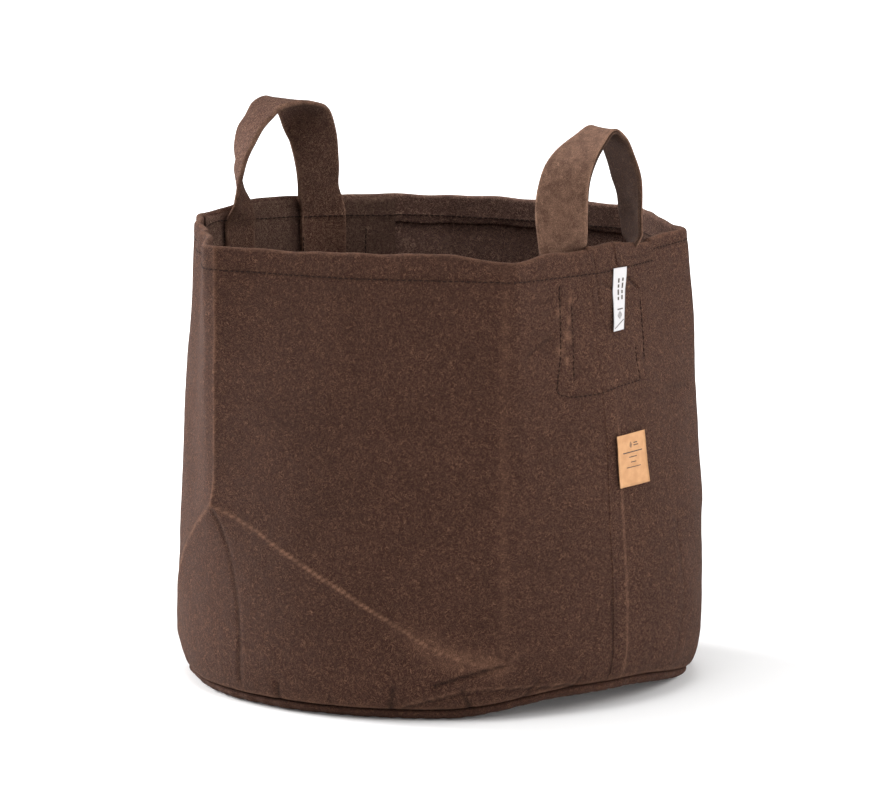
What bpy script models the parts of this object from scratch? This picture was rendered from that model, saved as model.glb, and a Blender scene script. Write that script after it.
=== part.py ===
"""Soft felt grow bag: an open round-bottomed pot of thick needled felt with a folded
hem, a lapped side seam, two strap handles sewn inside the rim and two small labels.

Units are metres, +Z is up, and the bag stands on the plane Z = 0. The handles lie at
the +X and -X sides, and each handle folds about a line parallel to Y at the rim.
"""
import math

import bpy
import bmesh
from mathutils import Vector

MM = 0.001

# --- Felt body ---------------------------------------------------------------------
HEIGHT = 334 * MM            # rim above the floor
RIM_TILT = 1.0 * MM          # the mouth rides up on the -X side and dips on the +X side
RIM_TILT_ANGLE = 170.0
FELT = 2.5 * MM              # thickness of one layer
LAYER_GAP = 0.6 * MM         # air between sewn layers of one cloth
PIECE_GAP = 0.75 * MM        # air between separate cloths sewn flat together
BODY_RADIUS = 193 * MM       # widest, a hand's width above the floor
FOOT_RADIUS = 184 * MM       # where the base meets the floor
FOOT_ROLL = 38 * MM          # height over which the foot swells to the body radius
TAPER_POWER = 2.2            # how late the body draws in to the mouth
CENTRE = (2.24 * MM, -0.05 * MM)    # puts the middle of the whole bag over the origin
HEM = 22 * MM                # depth of the hem turned inside
COLUMNS = 54                 # flat faces round the wall

# Straight sides of the soft polygon that the mouth makes: direction in degrees, distance.
MOUTH_SIDES = (
    (-74.9, 161 * MM),
    (-62.9, 156 * MM),
    (-6.9, 163 * MM),
    (7.1, 160 * MM),
    (54.3, 174.5 * MM),
    (97.7, 172 * MM),
    (113.0, 175 * MM),
    (143.4, 193 * MM),
    (170.0, 198 * MM),
    (198.5, 192 * MM),
    (224.0, 177 * MM),
)
MOUTH_SHARPNESS = 55.0       # higher gives tighter folds between the sides

# --- Base and seams ----------------------------------------------------------------
SEAM_FLANGE = 11 * MM        # width of the two edges sewn together inside the foot
FLANGE_LOW = 5.0 * MM
FLANGE_HIGH = 7.9 * MM
LAP_ANGLE = -9.0             # direction of the lapped side seam
LAP_WIDTH = 11 * MM
LAP_SLOPE = 2.6              # degrees over which the upper end drops off the lower one
THREAD = 0.45 * MM           # radius of the sewing thread
THREAD_LIFT = 0.85 * MM      # thread centre above the felt it lies on

# --- Handles -----------------------------------------------------------------------
STRAP_WIDTH = 38 * MM
STRAP_THICK = 4.0 * MM
STRAP_DEPTH = 96 * MM        # length sewn down inside the wall
STRAP_START = 4.5 * MM       # top of the sewn length below the rim
HINGE_RISE = 3.8 * MM        # fold line above the rim
LOOP_STRAIGHT = 12 * MM      # height of each leg before it starts to twist
PATCH_DEPTH = 98 * MM
PATCH_SPREAD = 46 * MM       # patch beyond the middle of each leg
RIGHT_FEET = ((148.4 * MM, -39 * MM), (145.0 * MM, 45 * MM))
LEFT_FEET = ((-174.8 * MM, 69 * MM), (-181.5 * MM, -15 * MM))
LOOPS = {
    "right": {"feet": RIGHT_FEET, "top": 86 * MM},
    "left": {"feet": LEFT_FEET, "top": 80 * MM},
}

# --- Labels ------------------------------------------------------------------------
TAG_ANGLE = 3.0
TAG_WIDTH = 14 * MM
TAG_LENGTH = 46 * MM
TAG_THICK = 0.6 * MM
CARD_ANGLE = -1.2
CARD_HEIGHT = 181 * MM
CARD_SIZE = (29.5 * MM, 38 * MM)
CARD_THICK = 0.7 * MM
CARD_LEAN = 2.5
STITCH_DROP = 18.5 * MM      # hem stitch below the rim

# Heights at which the wall changes slope.
LEVELS = [z * MM for z in (7.9, 9.4, 18, 46, 100, 170, 225, 265, 300, 345)]


def clear_scene():
    for obj in list(bpy.data.objects):
        bpy.data.objects.remove(obj, do_unlink=True)


def make_collection():
    coll = bpy.data.collections.new("fabric_grow_bag")
    bpy.context.scene.collection.children.link(coll)
    return coll


def make_material(name, colour, roughness):
    mat = bpy.data.materials.new(name)
    mat.use_nodes = True
    shader = mat.node_tree.nodes["Principled BSDF"]
    shader.inputs["Base Color"].default_value = (*colour, 1.0)
    shader.inputs["Roughness"].default_value = roughness
    shader.inputs["Metallic"].default_value = 0.0
    return mat


def mouth_radius(angle):
    """Distance of the rim from the middle, in a direction given in degrees."""
    total = 0.0
    for direction, distance in MOUTH_SIDES:
        reach = math.cos(math.radians(angle - direction)) / distance
        if reach > 0.0:
            total += reach ** MOUTH_SHARPNESS
    return total ** (-1.0 / MOUTH_SHARPNESS)


def rim_height(angle):
    return HEIGHT + RIM_TILT * math.cos(math.radians(angle - RIM_TILT_ANGLE))


def smooth_radius(angle, z):
    """Outer face of the wall: a round foot that blends to the mouth's outline."""
    t = min(max((z - FLANGE_HIGH) / FOOT_ROLL, 0.0), 1.0)
    swell = math.sqrt(1.0 - (1.0 - t) ** 2)
    body = FOOT_RADIUS + (BODY_RADIUS - FOOT_RADIUS) * swell
    mix = min(max(z / HEIGHT, 0.0), 1.0) ** TAPER_POWER
    return body + (mouth_radius(angle) - body) * mix


def wall_radius(angle, z):
    """The same face made of straight slopes between the levels."""
    for low, high in zip(LEVELS, LEVELS[1:]):
        if z <= high:
            break
    t = (z - low) / (high - low)
    first = smooth_radius(angle, low)
    return first + (smooth_radius(angle, high) - first) * t


def on_wall(angle, z, lift):
    """Point on the flat-sided wall, lifted outwards from its outer face."""
    step = 360.0 / COLUMNS
    turns = (angle - LAP_ANGLE) / step
    first = math.floor(turns + 1e-9)
    ends = []
    for side in (first, first + 1):
        direction = LAP_ANGLE + side * step
        radius = wall_radius(direction, z) + lift
        turn = math.radians(direction)
        ends.append(Vector((radius * math.cos(turn), radius * math.sin(turn), z)))
    point = ends[0].lerp(ends[1], turns - first)
    return point + Vector((CENTRE[0], CENTRE[1], 0.0))


def lap_degrees():
    return math.degrees(LAP_WIDTH / BODY_RADIUS)


def corners_between(start, finish):
    """Angles from start to finish, with every corner of the wall that lies between."""
    step = 360.0 / COLUMNS
    marks = [k * step for k in range(COLUMNS)]
    marks += [359.0, lap_degrees() + 0.6, lap_degrees() + 0.6 + LAP_SLOPE]
    inside = []
    for mark in marks:
        angle = start + (LAP_ANGLE + mark - start) % 360.0
        while angle < finish - 0.2:
            if angle > start + 0.2:
                inside.append(angle)
            angle += 360.0
    return [start] + sorted(inside) + [finish]


def angle_of(x, y):
    return math.degrees(math.atan2(y, x))


def link_mesh(bm, name, coll, mat, smooth=True):
    bmesh.ops.recalc_face_normals(bm, faces=bm.faces)
    mesh = bpy.data.meshes.new(name)
    bm.to_mesh(mesh)
    bm.free()
    mesh.materials.append(mat)
    if smooth:
        mesh.shade_smooth()
        mesh.set_sharp_from_angle(angle=math.radians(40))
    obj = bpy.data.objects.new(name, mesh)
    coll.objects.link(obj)
    return obj


def sweep(sections, name, coll, mat, closed=False):
    """Loft of equal-sized closed sections, capped at both ends unless it is a ring."""
    bm = bmesh.new()
    rings = [[bm.verts.new(point) for point in section] for section in sections]
    count = len(rings[0])
    pairs = list(zip(rings, rings[1:]))
    if closed:
        pairs.append((rings[-1], rings[0]))
    for first, second in pairs:
        for i in range(count):
            j = (i + 1) % count
            bm.faces.new((first[i], first[j], second[j], second[i]))
    if not closed:
        bm.faces.new(rings[0])
        bm.faces.new(rings[-1])
    return link_mesh(bm, name, coll, mat)


def thread(points, name, coll, mat, cyclic=False):
    """Sewing thread as a thin round tube."""
    curve = bpy.data.curves.new(name, "CURVE")
    curve.dimensions = "3D"
    curve.bevel_depth = THREAD
    curve.bevel_resolution = 1
    curve.use_fill_caps = True
    spline = curve.splines.new("POLY")
    spline.points.add(len(points) - 1)
    for slot, point in zip(spline.points, points):
        slot.co = (*point, 1.0)
    spline.use_cyclic_u = cyclic
    curve.materials.append(mat)
    obj = bpy.data.objects.new(name, curve)
    coll.objects.link(obj)
    return obj


def wall_profile(angle, lift):
    """Closed section of the wall cloth: foot flange, wall, and the hem turned inside."""
    rim = rim_height(angle)
    inner = -FELT
    hem_out = inner - LAYER_GAP
    hem_in = hem_out - FELT
    top = FLANGE_HIGH + FELT
    outside = [
        (FLANGE_HIGH, -SEAM_FLANGE),
        (FLANGE_HIGH, -1.0 * MM),
        (FLANGE_HIGH + 1.0 * MM, 0.0),
    ]
    outside += [(z, 0.0) for z in LEVELS[2:-1]]
    outside += [
        (rim - HEM, 0.0),
        (rim - 1.3 * MM, 0.0),
        (rim, -1.3 * MM),
        (rim, hem_in + 1.3 * MM),
        (rim - 1.3 * MM, hem_in),
        (rim - HEM, hem_in),
    ]
    inside = [
        (rim - HEM, hem_out),
        (rim - 2.8 * MM, hem_out),
        (rim - 2.8 * MM, inner),
        (rim - HEM, inner),
    ]
    inside += [(z, inner) for z in reversed(LEVELS[2:-1])]
    inside += [
        (top + 1.0 * MM, inner),
        (top, inner - 1.0 * MM),
        (top, -SEAM_FLANGE),
    ]
    return [on_wall(angle, z, d + lift) for z, d in outside + inside]


def build_wall(coll, mat):
    """One strip of felt wrapped round until its ends lap, sewn down the lap."""
    raised = FELT + LAYER_GAP
    stations = [(LAP_ANGLE, raised), (LAP_ANGLE + lap_degrees() + 0.6, raised)]
    flat = LAP_ANGLE + lap_degrees() + 0.6 + LAP_SLOPE
    stations.append((flat, 0.0))
    step = 360.0 / COLUMNS
    for k in range(1, COLUMNS + 1):
        stations.append((LAP_ANGLE + k * step, 0.0))
    stations.append((LAP_ANGLE + 360.0 + lap_degrees(), 0.0))
    sections = [wall_profile(angle, lift) for angle, lift in stations]
    return sweep(sections, "wall_felt", coll, mat)


def build_base(coll, mat):
    """Round felt bottom with its edge rolled up and turned in against the wall's."""
    bm = bmesh.new()
    low = FLANGE_LOW
    profile = [
        (FOOT_RADIUS - 5.0 * MM, 0.0),
        (FOOT_RADIUS - 1.6 * MM, 1.0 * MM),
        (FOOT_RADIUS, 3.6 * MM),
        (FOOT_RADIUS, 6.2 * MM),
        (FOOT_RADIUS - 1.3 * MM, 7.5 * MM),
        (FOOT_RADIUS - SEAM_FLANGE, 7.5 * MM),
        (FOOT_RADIUS - SEAM_FLANGE, low),
        (FOOT_RADIUS - 3.4 * MM, low),
        (FOOT_RADIUS - 3.4 * MM, 3.6 * MM),
        (FOOT_RADIUS - 5.4 * MM, FELT),
    ]
    rings = []
    for k in range(COLUMNS):
        turn = 2.0 * math.pi * k / COLUMNS
        ring = []
        for radius, z in profile:
            x = CENTRE[0] + radius * math.cos(turn)
            y = CENTRE[1] + radius * math.sin(turn)
            ring.append(bm.verts.new((x, y, z)))
        rings.append(ring)
    for k in range(COLUMNS):
        first = rings[k]
        second = rings[(k + 1) % COLUMNS]
        for i in range(len(profile) - 1):
            bm.faces.new((first[i], first[i + 1], second[i + 1], second[i]))
    for edge, z in ((0, 0.0), (len(profile) - 1, FELT)):
        hub = bm.verts.new((CENTRE[0], CENTRE[1], z))
        for k in range(COLUMNS):
            bm.faces.new((rings[k][edge], rings[(k + 1) % COLUMNS][edge], hub))
    return link_mesh(bm, "base_felt", coll, mat)


def slab_on_wall(span, drops, lifts, name, coll, mat):
    """Flat piece of cloth that follows the wall between two angles and two drops."""
    sections = []
    for angle in corners_between(*span):
        rim = rim_height(angle)
        levels = [rim - drops[0], LEVELS[8], LEVELS[7], rim - drops[1]]
        outer = [on_wall(angle, z, lifts[0]) for z in levels]
        inner = [on_wall(angle, z, lifts[1]) for z in reversed(levels)]
        sections.append(outer + inner)
    return sweep(sections, name, coll, mat)


def strap_layers():
    """Lifts of the reinforcement patch and of the strap inside the hem."""
    patch_out = -(2 * FELT + LAYER_GAP) - PIECE_GAP
    patch_in = patch_out - FELT
    strap_out = patch_in - PIECE_GAP
    strap_in = strap_out - STRAP_THICK
    return patch_out, patch_in, strap_out, strap_in


def chord(loop):
    """Middle of a handle's two feet, and the direction from the near to the far foot."""
    near, far = [Vector((x, y, 0.0)) for x, y in loop["feet"]]
    return (near + far) / 2, (far - near).normalized()


def span_of(points):
    """Angles from the first point to the second, anticlockwise."""
    low, high = [angle_of(point.x, point.y) for point in points]
    return [low, low + (high - low) % 360.0]


def leg_spans(loop):
    """Angle range covered by each leg of a handle."""
    _, along = chord(loop)
    half = along * (STRAP_WIDTH / 2)
    feet = [Vector((x, y, 0.0)) for x, y in loop["feet"]]
    return [span_of((foot - half, foot + half)) for foot in feet]


def build_patch(key, loop, coll, mat):
    """Felt patch that spreads the pull of one handle over the wall."""
    patch_out, patch_in, _, _ = strap_layers()
    _, along = chord(loop)
    near, far = [Vector((x, y, 0.0)) for x, y in loop["feet"]]
    low, high = span_of((near - along * PATCH_SPREAD, far + along * PATCH_SPREAD))
    drops = (2.0 * MM, PATCH_DEPTH)
    lifts = (patch_out, patch_in)
    return slab_on_wall((low, high), drops, lifts, "patch_" + key, coll, mat)


def build_tails(key, loop, coll, mat):
    """The two ends of one strap, sewn down over the patch."""
    _, _, strap_out, strap_in = strap_layers()
    drops = (STRAP_START, STRAP_DEPTH)
    tails = []
    for label, span in zip(("near", "far"), leg_spans(loop)):
        name = "strap_" + key + "_tail_" + label
        lifts = (strap_out, strap_in)
        tails.append(slab_on_wall(span, drops, lifts, name, coll, mat))
    return tails


def hinge_height(loop):
    rims = [rim_height(angle_of(x, y)) for x, y in loop["feet"]]
    return max(rims) + HINGE_RISE


def loop_path(loop):
    """Middle of the strap from foot to foot: position, direction of travel, twist."""
    middle, along_feet = chord(loop)
    near = Vector((*loop["feet"][0], 0.0)) - middle
    rise = loop["top"] - LOOP_STRAIGHT
    samples = 22
    legs = [(-1.5 * MM, 0.0), (LOOP_STRAIGHT * 0.5, 0.0)]
    up = Vector((0, 0, 1))
    path = [(near + up * z, up, turn) for z, turn in legs]
    for k in range(samples + 1):
        t = math.pi * k / samples
        point = near * math.cos(t) + up * (LOOP_STRAIGHT + rise * math.sin(t))
        along = (up * (rise * math.cos(t)) - near * math.sin(t)).normalized()
        twist = max(math.sin(t), 0.0) ** 1.3
        path.append((point, along, twist))
    path += [(up * z - near, -up, turn) for z, turn in reversed(legs)]
    outward = along_feet.cross(up)
    return middle, outward, path


def build_loop(key, loop, coll, mat):
    """Free part of one strap: it stands up, twists a quarter turn and twists back."""
    middle, outward, path = loop_path(loop)
    hinge = middle + Vector((CENTRE[0], CENTRE[1], hinge_height(loop)))
    wide = STRAP_WIDTH / 2
    thick = STRAP_THICK / 2
    round_edge = thick * 0.8
    corners = [
        (-wide, -thick + round_edge),
        (-wide + round_edge, -thick),
        (wide - round_edge, -thick),
        (wide, -thick + round_edge),
        (wide, thick - round_edge),
        (wide - round_edge, thick),
        (-wide + round_edge, thick),
        (-wide, thick - round_edge),
    ]
    sections = []
    for point, along, twist in path:
        edge = along.cross(outward).normalized()
        angle = math.radians(90.0 * twist)
        side = edge * math.cos(angle) + outward * math.sin(angle)
        normal = along.cross(side).normalized()
        sections.append([point + side * u + normal * v for u, v in corners])
    obj = sweep(sections, "handle_" + key, coll, mat)
    obj.location = hinge
    return obj


def build_tag(coll, mat):
    """Narrow woven tag hanging from the hem stitch."""
    rim = rim_height(TAG_ANGLE)
    top = on_wall(TAG_ANGLE, rim - STITCH_DROP - 2.2 * MM, 1.3 * MM)
    foot = on_wall(TAG_ANGLE, rim - STITCH_DROP - 2.2 * MM - TAG_LENGTH, 1.3 * MM)
    turn = math.radians(TAG_ANGLE)
    across = Vector((-math.sin(turn), math.cos(turn), 0.0))
    down = (foot - top).normalized()
    out = across.cross(down).normalized()
    if out.x < 0:
        out = -out
    sections = []
    for drop in (0.0, TAG_LENGTH * 0.5, TAG_LENGTH):
        middle = down * drop
        ring = []
        for u, v in ((-0.5, -0.5), (0.5, -0.5), (0.5, 0.5), (-0.5, 0.5)):
            ring.append(middle + across * (u * TAG_WIDTH) + out * (v * TAG_THICK))
        sections.append(ring)
    obj = sweep(sections, "tag_woven", coll, mat)
    obj.location = top
    return obj


def build_card(coll, mat):
    """Small paper label fixed to the wall, leaning a little."""
    lean = math.radians(CARD_LEAN)
    radius = wall_radius(CARD_ANGLE, CARD_HEIGHT)
    columns = 3
    rows = 3
    base = FELT + LAYER_GAP + 1.7 * MM

    def spot(u, v, lift):
        across = u * math.cos(lean) - v * math.sin(lean)
        up = u * math.sin(lean) + v * math.cos(lean)
        angle = CARD_ANGLE + math.degrees(across / radius)
        return on_wall(angle, CARD_HEIGHT + up, lift)

    sections = []
    for k in range(columns + 1):
        u = CARD_SIZE[0] * (k / columns - 0.5)
        levels = [CARD_SIZE[1] * (r / rows - 0.5) for r in range(rows + 1)]
        outer = [spot(u, v, base + CARD_THICK) for v in levels]
        inner = [spot(u, v, base) for v in reversed(levels)]
        sections.append(outer + inner)
    return sweep(sections, "label_card", coll, mat)


def lap_lift(angle):
    """Extra height of the wall's face where its ends lap."""
    past = (angle - LAP_ANGLE + 180.0) % 360.0 - 180.0
    raised = FELT + LAYER_GAP
    full = lap_degrees() + 0.6
    if past < -1.0 or past > full + LAP_SLOPE:
        return 0.0
    if past < 0.0:
        return raised * (past + 1.0)
    if past < full:
        return raised
    return raised * (full + LAP_SLOPE - past) / LAP_SLOPE


def build_hem_stitch(coll, mat):
    """One seam round the rim whose end climbs and runs on above its start."""
    points = []
    start = -18.0
    for angle in corners_between(start, start + 392.0):
        climb = min(max((angle - start - 352.0) / 8.0, 0.0), 1.0) * 7.0 * MM
        z = rim_height(angle) - STITCH_DROP + climb
        points.append(on_wall(angle, z, THREAD_LIFT + 0.3 * MM + lap_lift(angle)))
    return thread(points, "hem_stitch", coll, mat)


def build_side_stitch(coll, mat):
    """Seam down the lap, from under the hem stitch to the foot."""
    angle = LAP_ANGLE + 2.0
    lift = FELT + LAYER_GAP + THREAD_LIFT
    top = rim_height(angle) - STITCH_DROP - 4.0 * MM
    levels = [12.0 * MM] + LEVELS[2:9] + [top]
    points = [on_wall(angle, z, lift) for z in levels]
    return thread(points, "side_seam_stitch", coll, mat)


def build_base_stitch(coll, mat):
    """Seam through the two edges that turn in at the foot."""
    z = FLANGE_HIGH + FELT + THREAD_LIFT
    step = 360.0 / COLUMNS
    angles = [LAP_ANGLE + k * step for k in range(COLUMNS)]
    points = [on_wall(angle, z, -SEAM_FLANGE + 4.0 * MM) for angle in angles]
    return thread(points, "base_seam_stitch", coll, mat, cyclic=True)


def build_strap_stitch(key, loop, coll, mat):
    """Seam seen outside: down one strap end, across and up the other."""
    low, high = [sum(span) / 2 for span in leg_spans(loop)]
    high = low + (high - low) % 360.0
    top = STITCH_DROP + 5.0 * MM
    foot = STRAP_DEPTH - 4.0 * MM
    steps = [top + (foot - top) * k / 4 for k in range(5)]
    across = corners_between(low, high)
    spots = [(low, drop) for drop in steps]
    spots += [(angle, foot) for angle in across[1:-1]]
    spots += [(high, drop) for drop in reversed(steps)]
    points = []
    for angle, drop in spots:
        lift = THREAD_LIFT + 0.3 * MM + lap_lift(angle)
        if abs((angle - LAP_ANGLE - 2.0 + 180.0) % 360.0 - 180.0) < 5.5:
            lift += 3.0 * THREAD
        points.append(on_wall(angle, rim_height(angle) - drop, lift))
    return thread(points, "strap_" + key + "_stitch", coll, mat)


def build_patch_stitch(key, loop, coll, mat):
    """Seam seen inside along the foot of one patch, between and beside the strap ends."""
    _, patch_in, _, _ = strap_layers()
    near, far = leg_spans(loop)
    low = near[1] + 1.2
    high = low + (far[0] - 1.2 - low) % 360.0
    drop = PATCH_DEPTH - 6.0 * MM
    points = []
    for angle in corners_between(low, high):
        points.append(on_wall(angle, rim_height(angle) - drop, patch_in - THREAD_LIFT))
    return thread(points, "patch_" + key + "_stitch", coll, mat)


def main():
    clear_scene()
    coll = make_collection()
    felt = make_material("felt_wall", (0.080, 0.036, 0.025), 0.95)
    bottom = make_material("felt_base", (0.072, 0.031, 0.021), 0.95)
    patch = make_material("felt_patch", (0.090, 0.045, 0.033), 0.95)
    strap = make_material("felt_strap", (0.120, 0.057, 0.040), 0.93)
    sewing = make_material("thread_dark", (0.020, 0.011, 0.008), 0.70)
    woven = make_material("tag_white", (0.84, 0.81, 0.82), 0.80)
    card = make_material("card_kraft", (0.75, 0.42, 0.22), 0.75)
    build_wall(coll, felt)
    build_base(coll, bottom)
    build_hem_stitch(coll, sewing)
    build_side_stitch(coll, sewing)
    build_base_stitch(coll, sewing)
    for key, loop in LOOPS.items():
        build_patch(key, loop, coll, patch)
        build_tails(key, loop, coll, strap)
        build_loop(key, loop, coll, strap)
        build_strap_stitch(key, loop, coll, sewing)
        build_patch_stitch(key, loop, coll, sewing)
    build_tag(coll, woven)
    build_card(coll, card)


main()
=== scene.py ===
"""Soft felt grow bag: the cloth, seams, straps and labels of the fabric grow bag, built
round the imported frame. Lengths on the bag are millimetres and directions are degrees
about the bag's middle, turned into metres when a mesh is made."""
import math

import bpy
import numpy as np
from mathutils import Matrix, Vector


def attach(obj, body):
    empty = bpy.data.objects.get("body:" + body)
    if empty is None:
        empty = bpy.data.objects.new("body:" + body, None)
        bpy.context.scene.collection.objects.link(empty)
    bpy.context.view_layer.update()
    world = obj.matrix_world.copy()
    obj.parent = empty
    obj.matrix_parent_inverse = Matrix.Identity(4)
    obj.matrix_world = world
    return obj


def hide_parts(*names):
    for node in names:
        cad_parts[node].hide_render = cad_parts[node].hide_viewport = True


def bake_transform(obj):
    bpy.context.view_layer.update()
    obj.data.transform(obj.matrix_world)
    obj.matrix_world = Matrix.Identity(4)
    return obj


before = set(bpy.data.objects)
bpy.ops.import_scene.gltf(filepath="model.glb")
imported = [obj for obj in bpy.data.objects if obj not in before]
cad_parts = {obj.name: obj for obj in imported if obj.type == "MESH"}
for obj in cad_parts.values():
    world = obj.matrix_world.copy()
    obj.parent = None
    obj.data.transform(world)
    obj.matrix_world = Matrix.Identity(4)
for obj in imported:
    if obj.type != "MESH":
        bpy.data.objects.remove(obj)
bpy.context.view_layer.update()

MM = 0.001

# --- Bag body ---
CENTRE = np.array([2.24, -0.05])
HEIGHT = 334.0
BODY_RADIUS = 193.0
FOOT_RADIUS = 184.0
FOOT_ROLL = 31.0  # height over which the foot swells out to the body
FOOT_LOW = 7.9  # lower edge of the wall cloth
FOOT_LIFT = 12.0  # the bottom edge curls up this far ...
FOOT_LIFT_SPAN = (-50.0, -2.0)  # ... between these directions
FOOT_LIFT_FADE = 55.0  # height up the wall over which the curl is lost
TAPER_POWER = 2.2  # how late the round body turns into the many-sided mouth
# Sides of the mouth: direction each one faces, distance from the middle.
MOUTH_SIDES = (
    (-74.9, 161), (-62.9, 156), (-6.9, 163), (7.1, 160), (54.3, 174.5), (97.7, 172),
    (113, 175), (143.4, 193), (170, 198), (198.5, 192), (224, 177),
)
MOUTH_SHARPNESS = 55.0
# Rises of the rim: direction, height, width.
RIM_HUMPS = (
    (-33, -2.6, 6.5), (-55, 1.6, 12), (82, 1.3, 16), (172, 2.3, 11),
    (-150, 1.4, 7), (-138, -1.5, 5),
)
RIM_FOLLOW = 180.0  # above this the wall's rows bend to follow the rim
FELT = 2.5
LAYER_GAP = 0.6
HEM = 22.0
SEAM_FLANGE = 11.0  # cloth turned in at the foot
SEAM_INSET = 4.0  # its stitches from its inner edge
UNROLL = 185.0  # radius at which directions are turned into lengths

# --- Seams ---
LAP_EDGE = -9.0  # direction of the outer cloth's cut edge
LAP_RISE = 0.5
HEM_CROSSED = (1.9, 20.4)  # directions between which the hem's ends lie doubled
STITCH = 3.3
STITCH_STEP = 4.3
STITCH_RADIUS = 0.42
STITCH_DIP = 0.55  # how far a stitch's ends sink into the felt
FACE_GAP = 0.3  # thread from the face it lies on

# --- Straps and patches ---
STRAP_WIDTH = 38.0
STRAP_THICK = 4.0
STRAP_LIFT = -11.6  # middle of the strap from the wall's outer face
PINCH_BULGE = 2.0  # the strap gathers into a gutter where it turns on edge
STRAP_DEPTH = 96.0  # length of a sewn end below the rim
STRAP_JOIN = 16  # steps of the loop that ease into each sewn end
PATCH_LIFT = -7.6
PATCH_THICK = 2.5
PATCH_DEPTH = 98.0
PATCHES = {"right": (-31.0, 35.0), "left": (140.4, 200.0)}

# Middle of each strap from its first foot over to its second:
# along the chord of the feet, height, direction of the strap's edge.
RIGHT_PATH = (
    (-39, 318, 82), (-38.6, 330, 72), (-38.4, 342, 57), (-39.6, 362, 41), (-37.8, 378, 27),
    (-32, 391.5, 15), (-21, 402, 0), (-6, 410.5, -14), (9, 416.5, -22), (21.5, 410, -20),
    (30.5, 396.5, -17), (38, 381, -21), (43.5, 366, -26), (46.5, 350, -27), (47, 339, -31),
    (46.5, 331, -42), (46, 323, -60), (45, 315, -72), (45, 308, -74),
)
RIGHT_FEET = ((148.4, -39.0), (145.0, 45.0))
LEFT_PATH = (
    (69, 320, 262), (67, 332, 258), (66, 346, 256), (65, 362, 253), (62.5, 376, 248),
    (57, 390, 235), (46.5, 402.5, 206), (31, 411, 180), (15, 409, 166), (3.5, 401, 159),
    (-5.5, 393, 154), (-12, 381, 147), (-16, 368, 139), (-17.5, 356, 133), (-16.5, 346, 124),
    (-15.5, 336, 114), (-15, 326, 102), (-15, 318, 96),
)
LEFT_FEET = ((-174.8, 69.0), (-181.5, -15.0))

# Each strap's path, feet and seed, how square it stays to its path, where it turns on edge
# along its loop, painted shade on its underside, and its paler front: wear and painted light.
STRAPS = {
    "right": (RIGHT_PATH, RIGHT_FEET, 7, 0.35, 0.70, 0.58, 0.30),
    "left": (LEFT_PATH, LEFT_FEET, 9, 1.0, 0.72, 0.14, 0.0),
}

# --- Camera ---
VIEW_AZIMUTH = 40.0
VIEW_ELEVATION = 9.6
VIEW_DISTANCE = 5.4
VIEW_HEIGHT = 166.0  # height the camera swings about
VIEW_SHIFT = (3.34, 38.4)  # its aim from there: to its right, and up
LENS = 295.4
SENSOR = 36.0


def wrap(angle):
    return (angle + 180.0) % 360.0 - 180.0


def smooth(t):
    t = np.clip(t, 0.0, 1.0)
    return t * t * (3.0 - 2.0 * t)


def bell(distance, width):
    return np.exp(-((distance / width) ** 2))


def around(theta, middle, width):
    """Soft hump about one direction."""
    return bell(wrap(theta - middle), width)


def ripple(seed, theta, z, length, count=16):
    """Slow random waves over the wall, of about this wavelength, between -1 and 1."""
    rng = np.random.default_rng(seed)
    total = 0.0
    for _ in range(count):
        lean = rng.uniform(0.0, math.pi)
        size = 2.0 * math.pi / (length * rng.uniform(0.7, 1.5))
        turns = round(size * math.cos(lean) * UNROLL)
        rise = size * math.sin(lean)
        phase = rng.uniform(0.0, 2.0 * math.pi)
        total = total + np.sin(np.radians(theta) * turns + z * rise + phase)
    return total / math.sqrt(2.0 * count)


def nearest(theta, z, path):
    """Distance to a line drawn on the wall, and how far along the line that is."""
    middle = path[len(path) // 2][0]
    x = np.radians(wrap(theta - middle)) * UNROLL
    marks = [(math.radians(a - middle) * UNROLL, h) for a, h in path]
    spans = [math.dist(p, q) for p, q in zip(marks, marks[1:])]
    best = np.full(np.shape(x), 1e9)
    where = np.zeros(np.shape(x))
    done = 0.0
    for (x0, z0), (x1, z1), span in zip(marks, marks[1:], spans):
        t = ((x - x0) * (x1 - x0) + (z - z0) * (z1 - z0)) / span ** 2
        t = np.clip(t, 0.0, 1.0)
        d = np.hypot(x - x0 - t * (x1 - x0), z - z0 - t * (z1 - z0))
        closer = d < best
        best = np.where(closer, d, best)
        where = np.where(closer, (done + t * span) / sum(spans), where)
        done += span
    return best, where


# Fold that runs down across the front from the left corner.
DIAGONAL = ((-106, 145), (-95, 133), (-84.5, 116), (-72, 95), (-58.4, 69), (-50, 51),
            (-37.4, 38))

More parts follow.
